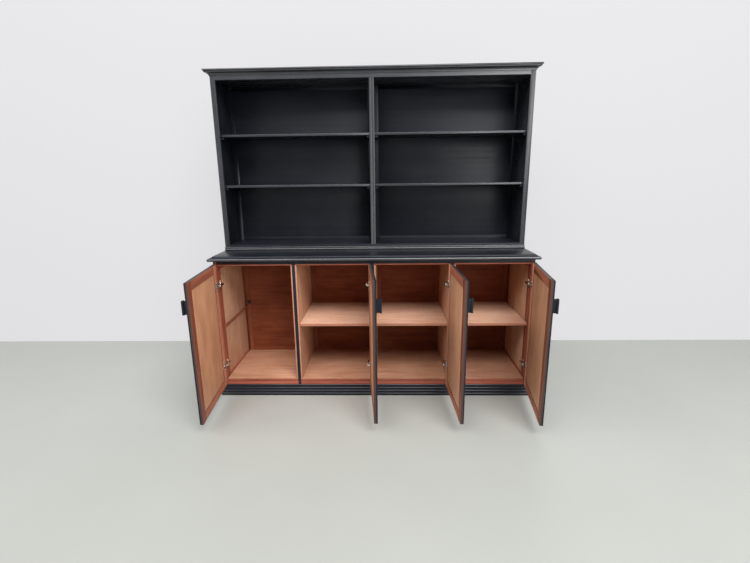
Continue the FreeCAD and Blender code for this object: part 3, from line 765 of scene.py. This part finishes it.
def side_cuts(node):
    """The line where the paint ends on a side's front edge."""
    low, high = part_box(node)
    paint = sizes().side_paint
    line = low.x + paint if low.x < 0 else high.x - paint
    return [(Vector((line, 0, 0)), X_AXIS, faces_front)]


def side_panel_rule(middle, normal, low, high):
    """A side's panel is black outside and bare inside."""
    out = -1.0 if middle.x < 0 else 1.0
    return "black" if normal.x * out > FACING else "inner"


def on_strip(middle, normal):
    """Whether a face lies on the black strip that runs down each divider and on over the rails."""
    near = min(abs(middle.x - centre) for centre in STRIP_CENTRES)
    return faces_front(normal) and near < sizes().divider_strip / 2


def strip_cuts():
    """Both edges of every divider's strip."""
    half = sizes().divider_strip / 2
    return [(Vector((centre + side * half, 0, 0)), X_AXIS, faces_front)
            for centre in STRIP_CENTRES for side in (-1, 1)]


def divider_rule(middle, normal, low, high):
    """A divider: a painted strip down its front edge, with a bare strip each side of it."""
    if on_strip(middle, normal):
        return "inner_black"
    return "lipping" if faces_front(normal) else "inner"


def top_rail_rule(middle, normal, low, high):
    """The top rail: painted shade in deeper black on its front under the worktop, and a bare band along its
    foot between the strips.
    """
    bare = middle.z < low.z + sizes().rail_bare and not on_strip(middle, normal)
    return "inner_black" if faces_front(normal) and not bare else "hardwood"


def floor_board_rule(middle, normal, low, high):
    """The floor board is veneered on top and hardwood elsewhere, with the dividers' strips on its edge."""
    if faces_up(normal):
        return "ground"
    return "inner_black" if on_strip(middle, normal) else "hardwood"


def floor_rail_rule(middle, normal, low, high):
    """The rail below the floor board is redder, with the dividers' strips on it."""
    return "inner_black" if on_strip(middle, normal) else "floor_edge"


def shelf_rule(middle, normal, low, high):
    """A middle shelf has a redder front edge."""
    return "shelf_edge" if faces_front(normal) else "shelf"


def worktop_rule(middle, normal, low, high):
    """The worktop is black, bare underneath where it closes the cabinet, with painted shade in darker blacks
    on its top and upper hollow.
    """
    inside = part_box("floor_board")
    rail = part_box("top_rail")
    within = inside[0].x < middle.x < inside[1].x and rail[1].y < middle.y < inside[1].y
    if faces_down(normal) and within:
        return "inner"
    if faces_up(normal):
        return "top_black"
    hollow = middle.z > low.z + WORKTOP_HOLLOW_SHARE * (high.z - low.z) and not faces_back(normal)
    return "inner_black" if hollow else "front_black"


def worktop_cuts():
    """The bounds of the bare part under the worktop."""
    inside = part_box("floor_board")
    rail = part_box("top_rail")
    lines = [(Vector((corner.x, 0, 0)), X_AXIS, faces_down) for corner in inside]
    return lines + [(Vector((0, y, 0)), Y_AXIS, faces_down) for y in (rail[1].y, inside[1].y)]


def reed_rule(middle, normal, low, high):
    """The reeds: faces that look up take the plain black, and their undersides and the quirks between them
    take the deeper black as painted shade.
    """
    return "black" if normal.z > 0 else "inner_black"


class CREDENZA_OT_plinth(bpy.types.Operator):
    """Finish the reeded plinth mouldings and the frame behind them"""
    bl_idname = "credenza.plinth"
    bl_label = "Plinth"

    def execute(self, context):
        for node in ("plinth_front", "plinth_returns"):
            dress(node, "black_paint", reed_rule, arris=sizes().moulding_arris)
        dress("plinth_frame", "red_hardwood", plain("hardwood"))
        return {"FINISHED"}


class CREDENZA_OT_base_case(bpy.types.Operator):
    """Finish the sides, dividers, floor, rails and back of the base cabinet"""
    bl_idname = "credenza.base_case"
    bl_label = "Base cabinet"

    def execute(self, context):
        for node in ("base_side_left", "base_side_right"):
            dress(node, "black_paint", side_rule, cuts=side_cuts(node), lengthwise=True)
        dress("base_side_panels", "veneer", side_panel_rule, ALONG_Z)
        for node in DIVIDERS:
            dress(node, "veneer", divider_rule, ALONG_Z, strip_cuts())
        dress("floor_board", "veneer", floor_board_rule, ALONG_X, strip_cuts())
        dress("floor_rail", "red_hardwood", floor_rail_rule, ALONG_X, strip_cuts())
        line = Vector((0, 0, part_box("top_rail")[0].z + sizes().rail_bare))
        dress("top_rail", "red_hardwood", top_rail_rule, ALONG_X,
              [(line, Z_AXIS, faces_front), *strip_cuts()])
        dress("base_back_frame", "red_hardwood", plain("back"), lengthwise=True)
        dress("base_back_panels", "back_panel", plain("back"), ALONG_X)
        return {"FINISHED"}


class CREDENZA_OT_hole_shade_plug(bpy.types.Operator):
    """Press a dished black rubber plug into the cable hole at the back of the first bay, a dark piece that
    stands in for the shade seen through the hole
    """
    bl_idname = "credenza.cable_plug"
    bl_label = "Cable plug"

    hole_inset: length("Hole inset", "From the left wall to the middle of the cable hole", 0.022)
    hole_height: length("Hole height", "From the floor board to the middle of the cable hole", 0.386)

    def execute(self, context):
        size = sizes()
        plug = bmesh.new()
        bmesh.ops.create_circle(plug, cap_ends=True, segments=PLUG_SIDES, radius=size.plug_radius)
        back = plug.faces[:]
        walls = bmesh.ops.extrude_face_region(plug, geom=back, use_keep_orig=True)["geom"]
        front = [part for part in walls if isinstance(part, bmesh.types.BMFace)]
        raised = [part for part in walls if isinstance(part, bmesh.types.BMVert)]
        bmesh.ops.translate(plug, verts=raised, vec=(0, 0, size.plug_thickness))
        bmesh.ops.inset_region(plug, faces=front, thickness=size.plug_rim, depth=0.0)
        bmesh.ops.inset_region(plug, faces=front, thickness=size.plug_rim, depth=-size.plug_rim / 2)
        bmesh.ops.recalc_face_normals(plug, faces=plug.faces)
        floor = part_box("floor_board")
        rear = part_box("base_back_frame")[0].y + size.plug_depth + size.plug_thickness
        place = Matrix.Translation((floor[0].x + self.hole_inset, rear, floor[1].z + self.hole_height))
        upright = Matrix.Rotation(QUARTER_TURN, 4, "X")
        bmesh.ops.transform(plug, matrix=place @ upright, verts=plug.verts)
        for face in plug.faces:
            face.smooth = False
        piece = add_mesh("cable_plug", plug, [finish("rubber")])
        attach(piece, "carcass")
        return {"FINISHED"}


class CREDENZA_OT_worktop(bpy.types.Operator):
    """Finish the worktop with its moulded edge"""
    bl_idname = "credenza.worktop"
    bl_label = "Worktop"

    def execute(self, context):
        dress("worktop", "black_paint", worktop_rule, ALONG_X, worktop_cuts(), sizes().moulding_arris)
        return {"FINISHED"}


class CREDENZA_OT_base_shelves(bpy.types.Operator):
    """Finish the middle shelves and their cleats"""
    bl_idname = "credenza.base_shelves"
    bl_label = "Base shelves"

    def execute(self, context):
        for bay in (2, 3, 4):
            dress(f"shelf_bay_{bay}", "veneer", shelf_rule, ALONG_X)
        dress("base_cleats", "red_hardwood", plain("hardwood"))
        return {"FINISHED"}


class CREDENZA_OT_cabinet_hinges(bpy.types.Operator):
    """Finish the hinge arms and their mounting plates"""
    bl_idname = "credenza.cabinet_hinges"
    bl_label = "Cabinet hinges"

    def execute(self, context):
        for node in ("hinge_arms", "hinge_plates"):
            dress_metal(node, "nickel", metal_rule)
        return {"FINISHED"}


# Hutch

def hutch_back_rule(middle, normal, low, high):
    """The hutch's back is bare behind, and painted on the side that shows in the deeper black, painted shade
    inside the hutch.
    """
    return "back" if faces_back(normal) else "inner_black"


def hutch_side_rule(middle, normal, low, high):
    """The left side of the hutch takes the deeper black on its inner face, painted shade on that side alone.
    """
    return "inner_black" if low.x < 0 and normal.x > FACING else "black"


def hutch_bottom_rule(middle, normal, low, high):
    """The hutch's bottom board is a darker, smoother black on top and the deeper black elsewhere, painted
    shade.
    """
    return "top_black" if faces_up(normal) else "inner_black"


def hutch_shelf_rule(middle, normal, low, high):
    """A hutch shelf is a deeper black underneath, painted shade."""
    return "inner_black" if faces_down(normal) else "black"


class CREDENZA_OT_hutch_case(bpy.types.Operator):
    """Finish the hutch's sides, divider, boards, back and cleats"""
    bl_idname = "credenza.hutch_case"
    bl_label = "Hutch case"

    def execute(self, context):
        for node in ("hutch_side_left", "hutch_side_right"):
            dress(node, "black_paint", hutch_side_rule)
        dress("hutch_bottom", "black_paint", hutch_bottom_rule)
        # The divider and cleats take the deeper black, painted shade inside the hutch; the top keeps the
        # plain black
        for node in ("hutch_divider", "hutch_cleats"):
            dress(node, "black_paint", plain("inner_black"))
        dress("hutch_top", "black_paint", plain("black"))
        dress("hutch_back_frame", "black_paint", hutch_back_rule, lengthwise=True, arris=sizes().back_arris)
        dress("hutch_back_panels", "black_paint", hutch_back_rule, ALONG_X)
        dress_metal("hutch_screws", "screw_steel", plain("steel"))
        return {"FINISHED"}


def foot_rail_rule(middle, normal, low, high):
    """The foot rail's upper edge takes the deeper black of the hutch's inside, as painted shade."""
    return "inner_black" if middle.z > high.z - sizes().foot_shade else "front_black"


class CREDENZA_OT_hutch_front(bpy.types.Operator):
    """Finish the hutch's face frame"""
    bl_idname = "credenza.hutch_front"
    bl_label = "Hutch face frame"

    def execute(self, context):
        dress("hutch_stiles", "black_paint", plain("black"), lengthwise=True)
        for node in ("hutch_centre_stile", "hutch_top_rail"):
            dress(node, "black_paint", plain("front_black"), lengthwise=True)
        line = Vector((0, 0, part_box("hutch_foot_rail")[1].z - sizes().foot_shade))
        dress("hutch_foot_rail", "black_paint", foot_rail_rule, ALONG_X, [(line, Z_AXIS, faces_front)],
              lengthwise=True)
        return {"FINISHED"}


class CREDENZA_OT_hutch_shelves(bpy.types.Operator):
    """Finish the hutch's shelves"""
    bl_idname = "credenza.hutch_shelves"
    bl_label = "Hutch shelves"

    def execute(self, context):
        for node in ("hutch_shelves_lower", "hutch_shelves_upper"):
            dress(node, "black_paint", hutch_shelf_rule, arris=sizes().shelf_arris)
        return {"FINISHED"}


class CREDENZA_OT_mouldings(bpy.types.Operator):
    """Finish the cornice and the bead round the hutch's foot"""
    bl_idname = "credenza.mouldings"
    bl_label = "Cornice and bead"

    def execute(self, context):
        for node in ("cornice_front", "cornice_returns", "hutch_bead"):
            dress(node, "black_paint", plain("front_black"), arris=sizes().moulding_arris)
        return {"FINISHED"}


# Doors

def hinge_of(number):
    """A door's own joint in the frame."""
    return next(joint for joint in frame["joints"] if joint["name"] == f"door_{number}_hinge")


def shut_door(number):
    """The turn that shuts a door from where it rests: its hinge's longer travel."""
    joint = hinge_of(number)
    closing = max(joint["range_deg"], key=abs)
    pivot = Vector(joint["pos_m"])
    turn = Matrix.Rotation(math.radians(closing), 4, Vector(joint["axis"]))
    return Matrix.Translation(pivot) @ turn @ Matrix.Translation(-pivot)


def door_rule(number):
    """A door's frame: bare inside, palest on the stile that carries the hinges, and rubbed on its edges, with
    painted shade along their outer side.
    """
    hinge = hinge_of(number)["pos_m"][0]

    def rule(middle, normal, low, high):
        if faces_back(normal):
            if high.x - low.x > high.z - low.z:
                return "rail"
            return "stile" if low.x < hinge < high.x else "hardwood"
        return "black" if faces_front(normal) else "rubbed"
    return rule


def door_panel_rule(middle, normal, low, high):
    """A door's panel is veneered inside and black outside."""
    return "veneer" if faces_back(normal) else "black"


def metal_rule(middle, normal, low, high):
    """Screws are steel, and the larger hinge parts are nickel."""
    spans = sorted(high - low)
    return "steel" if spans[1] < sizes().screw_reach else "nickel"


class CREDENZA_OT_doors(bpy.types.Operator):
    """Finish the four doors with their pulls and hinge cups"""
    bl_idname = "credenza.doors"
    bl_label = "Doors"

    def execute(self, context):
        for number in (1, 2, 3, 4):
            body = f"door_{number}"
            door = {"body": body, "place": shut_door(number)}
            dress(f"{body}_stiles", "black_paint", door_rule(number), ALONG_Z, **door)
            dress(f"{body}_rails", "black_paint", door_rule(number), ALONG_X, lengthwise=True, **door)
            dress(f"{body}_panel", "veneer", door_panel_rule, ALONG_Z, **door)
            dress(f"{body}_pull", "black_paint", plain("inner_black"), ALONG_Z, **door)
            dress_metal(f"{body}_fittings", "nickel", metal_rule, **door)
        return {"FINISHED"}


# Stage, lights and camera

class Lamp(NamedTuple):
    """A lamp's place, in degrees right of the front and above the level, and its size in metres."""
    bearing: float
    rise: float
    width: float
    height: float


LAMPS = {
    "key": Lamp(bearing=28, rise=46, width=4.0, height=3.4),
    "fill": Lamp(bearing=-28, rise=46, width=4.0, height=3.4),
    "front": Lamp(bearing=2, rise=46, width=3.0, height=3.4),
    "side": Lamp(bearing=-75, rise=40, width=4.0, height=3.4),
    "low": Lamp(bearing=26, rise=13, width=3.2, height=2.4),
    "rear": Lamp(bearing=165, rise=38, width=5.0, height=4.0),
}
LAMP_TARGET = Vector((0.0, 0.0, 0.9))

# The camera's place and directions, and its lens and sensor width in millimetres
CAMERA_PLACE = Vector((0.08658, -2.87284, 1.40387))
CAMERA_FORWARD = Vector((-0.02697258, 0.97170971, -0.23463316))
CAMERA_RIGHT = Vector((0.99961786, 0.02479771, -0.01221525))
CAMERA_LENS = 20.64
CAMERA_SENSOR = 36.0


def sheet(name, corners, material):
    """A flat four-cornered sheet for the stage."""
    board = bmesh.new()
    board.faces.new([board.verts.new(corner) for corner in corners])
    piece = add_mesh(name, board, [material])
    piece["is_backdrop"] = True


def hang_lamp(name, lamp, power):
    """A soft rectangular lamp that faces the cabinet."""
    bearing, rise = math.radians(lamp.bearing), math.radians(lamp.rise)
    out = Vector((math.cos(rise) * math.sin(bearing), -math.cos(rise) * math.cos(bearing), math.sin(rise)))
    data = bpy.data.lights.new(name, "AREA")
    data.shape = "RECTANGLE"
    data.size = lamp.width
    data.size_y = lamp.height
    data.energy = power
    light = add_object(name, data)
    light.location = LAMP_TARGET + out * stage_settings().lamp_reach
    light.rotation_mode = "QUATERNION"
    light.rotation_quaternion = (-out).to_track_quat("-Z", "Y")


def room():
    """Weak even light from all round, from a room that looks pale to the camera and in gloss."""
    stage = stage_settings()
    world = bpy.data.worlds.new("room")
    world.use_nodes = True
    tree = world.node_tree
    tree.nodes.clear()
    strength = spread(tree, background_rays(tree), FULL, (stage.room_light, stage.room_tone))
    light = put(tree, "ShaderNodeBackground", {}, {"Color": opaque(stage.room_tint), "Strength": strength})
    put(tree, "ShaderNodeOutputWorld", {}, {"Surface": light.outputs["Background"]})
    return world


def photo_camera():
    """The camera at the photo's viewing angle."""
    back = -CAMERA_FORWARD
    up = back.cross(CAMERA_RIGHT)
    data = bpy.data.cameras.new("camera")
    data.lens = CAMERA_LENS
    data.sensor_width = CAMERA_SENSOR
    data.sensor_fit = "HORIZONTAL"
    camera = add_object("camera", data)
    turn = Matrix((CAMERA_RIGHT, up, back)).transposed().to_4x4()
    camera.matrix_world = Matrix.Translation(CAMERA_PLACE) @ turn
    return camera


class CREDENZA_OT_stage(bpy.types.Operator):
    """Lay the floor, stand the backdrop and set the lights and the camera"""
    bl_idname = "credenza.stage"
    bl_label = "Stage"

    floor_reach: length("Floor reach", "Half the floor's width", 14.0)
    wall_height: length("Backdrop height", "Height of the backdrop", 5.0)

    def execute(self, context):
        scene = context.scene
        stage = stage_settings()
        reach = self.floor_reach
        wall = stage.wall_distance
        top = self.wall_height
        sheet("floor", [(-reach, -reach, 0), (reach, -reach, 0), (reach, reach, 0), (-reach, reach, 0)],
              floor_finish())
        sheet("backdrop", [(-reach, wall, 0), (reach, wall, 0), (reach, wall, top), (-reach, wall, top)],
              wall_finish())
        for name, lamp in LAMPS.items():
            hang_lamp(f"{name}_lamp", lamp, getattr(stage, f"{name}_power"))
        scene.world = room()
        scene.view_settings.view_transform = "Standard"
        scene.camera = photo_camera()
        return {"FINISHED"}


BUILDERS = (CREDENZA_OT_stage, CREDENZA_OT_plinth, CREDENZA_OT_base_case, CREDENZA_OT_hole_shade_plug,
            CREDENZA_OT_worktop, CREDENZA_OT_base_shelves, CREDENZA_OT_cabinet_hinges, CREDENZA_OT_hutch_case,
            CREDENZA_OT_hutch_front, CREDENZA_OT_hutch_shelves, CREDENZA_OT_mouldings, CREDENZA_OT_doors)


class CREDENZA_PT_sidebar(bpy.types.Panel):
    """The credenza's sizes, colours and pieces"""
    bl_idname = "CREDENZA_PT_sidebar"
    bl_label = "Painted Credenza"
    bl_space_type = "VIEW_3D"
    bl_region_type = "UI"
    bl_category = "Credenza"

    def draw(self, context):
        layout = self.layout
        for group in (sizes(), colours(), stage_settings()):
            box = layout.box()
            for name in group.bl_rna.properties.keys():
                if name not in ("rna_type", "name"):
                    box.prop(group, name)
        for builder in BUILDERS:
            layout.operator(builder.bl_idname)


GROUPS = {"credenza_sizes": CredenzaSizes, "credenza_colours": CredenzaColours,
          "credenza_stage": CredenzaStage}
CLASSES = (*GROUPS.values(), *BUILDERS, CREDENZA_PT_sidebar)


def register():
    """Add the settings, the operators and the panel."""
    for kind in CLASSES:
        bpy.utils.register_class(kind)
    for name, kind in GROUPS.items():
        setattr(bpy.types.Scene, name, PointerProperty(type=kind))


def unregister():
    """Take them out again."""
    for name in GROUPS:
        delattr(bpy.types.Scene, name)
    for kind in reversed(CLASSES):
        bpy.utils.unregister_class(kind)


def main():
    """Build every piece."""
    register()
    for builder in BUILDERS:
        group, name = builder.bl_idname.split(".")
        getattr(getattr(bpy.ops, group), name)()
    boxes = {"cad": cad_box, "visual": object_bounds()}
    {key: [list(corner) for corner in box] for key, box in boxes.items()}


if __name__ == "__main__":
    main()
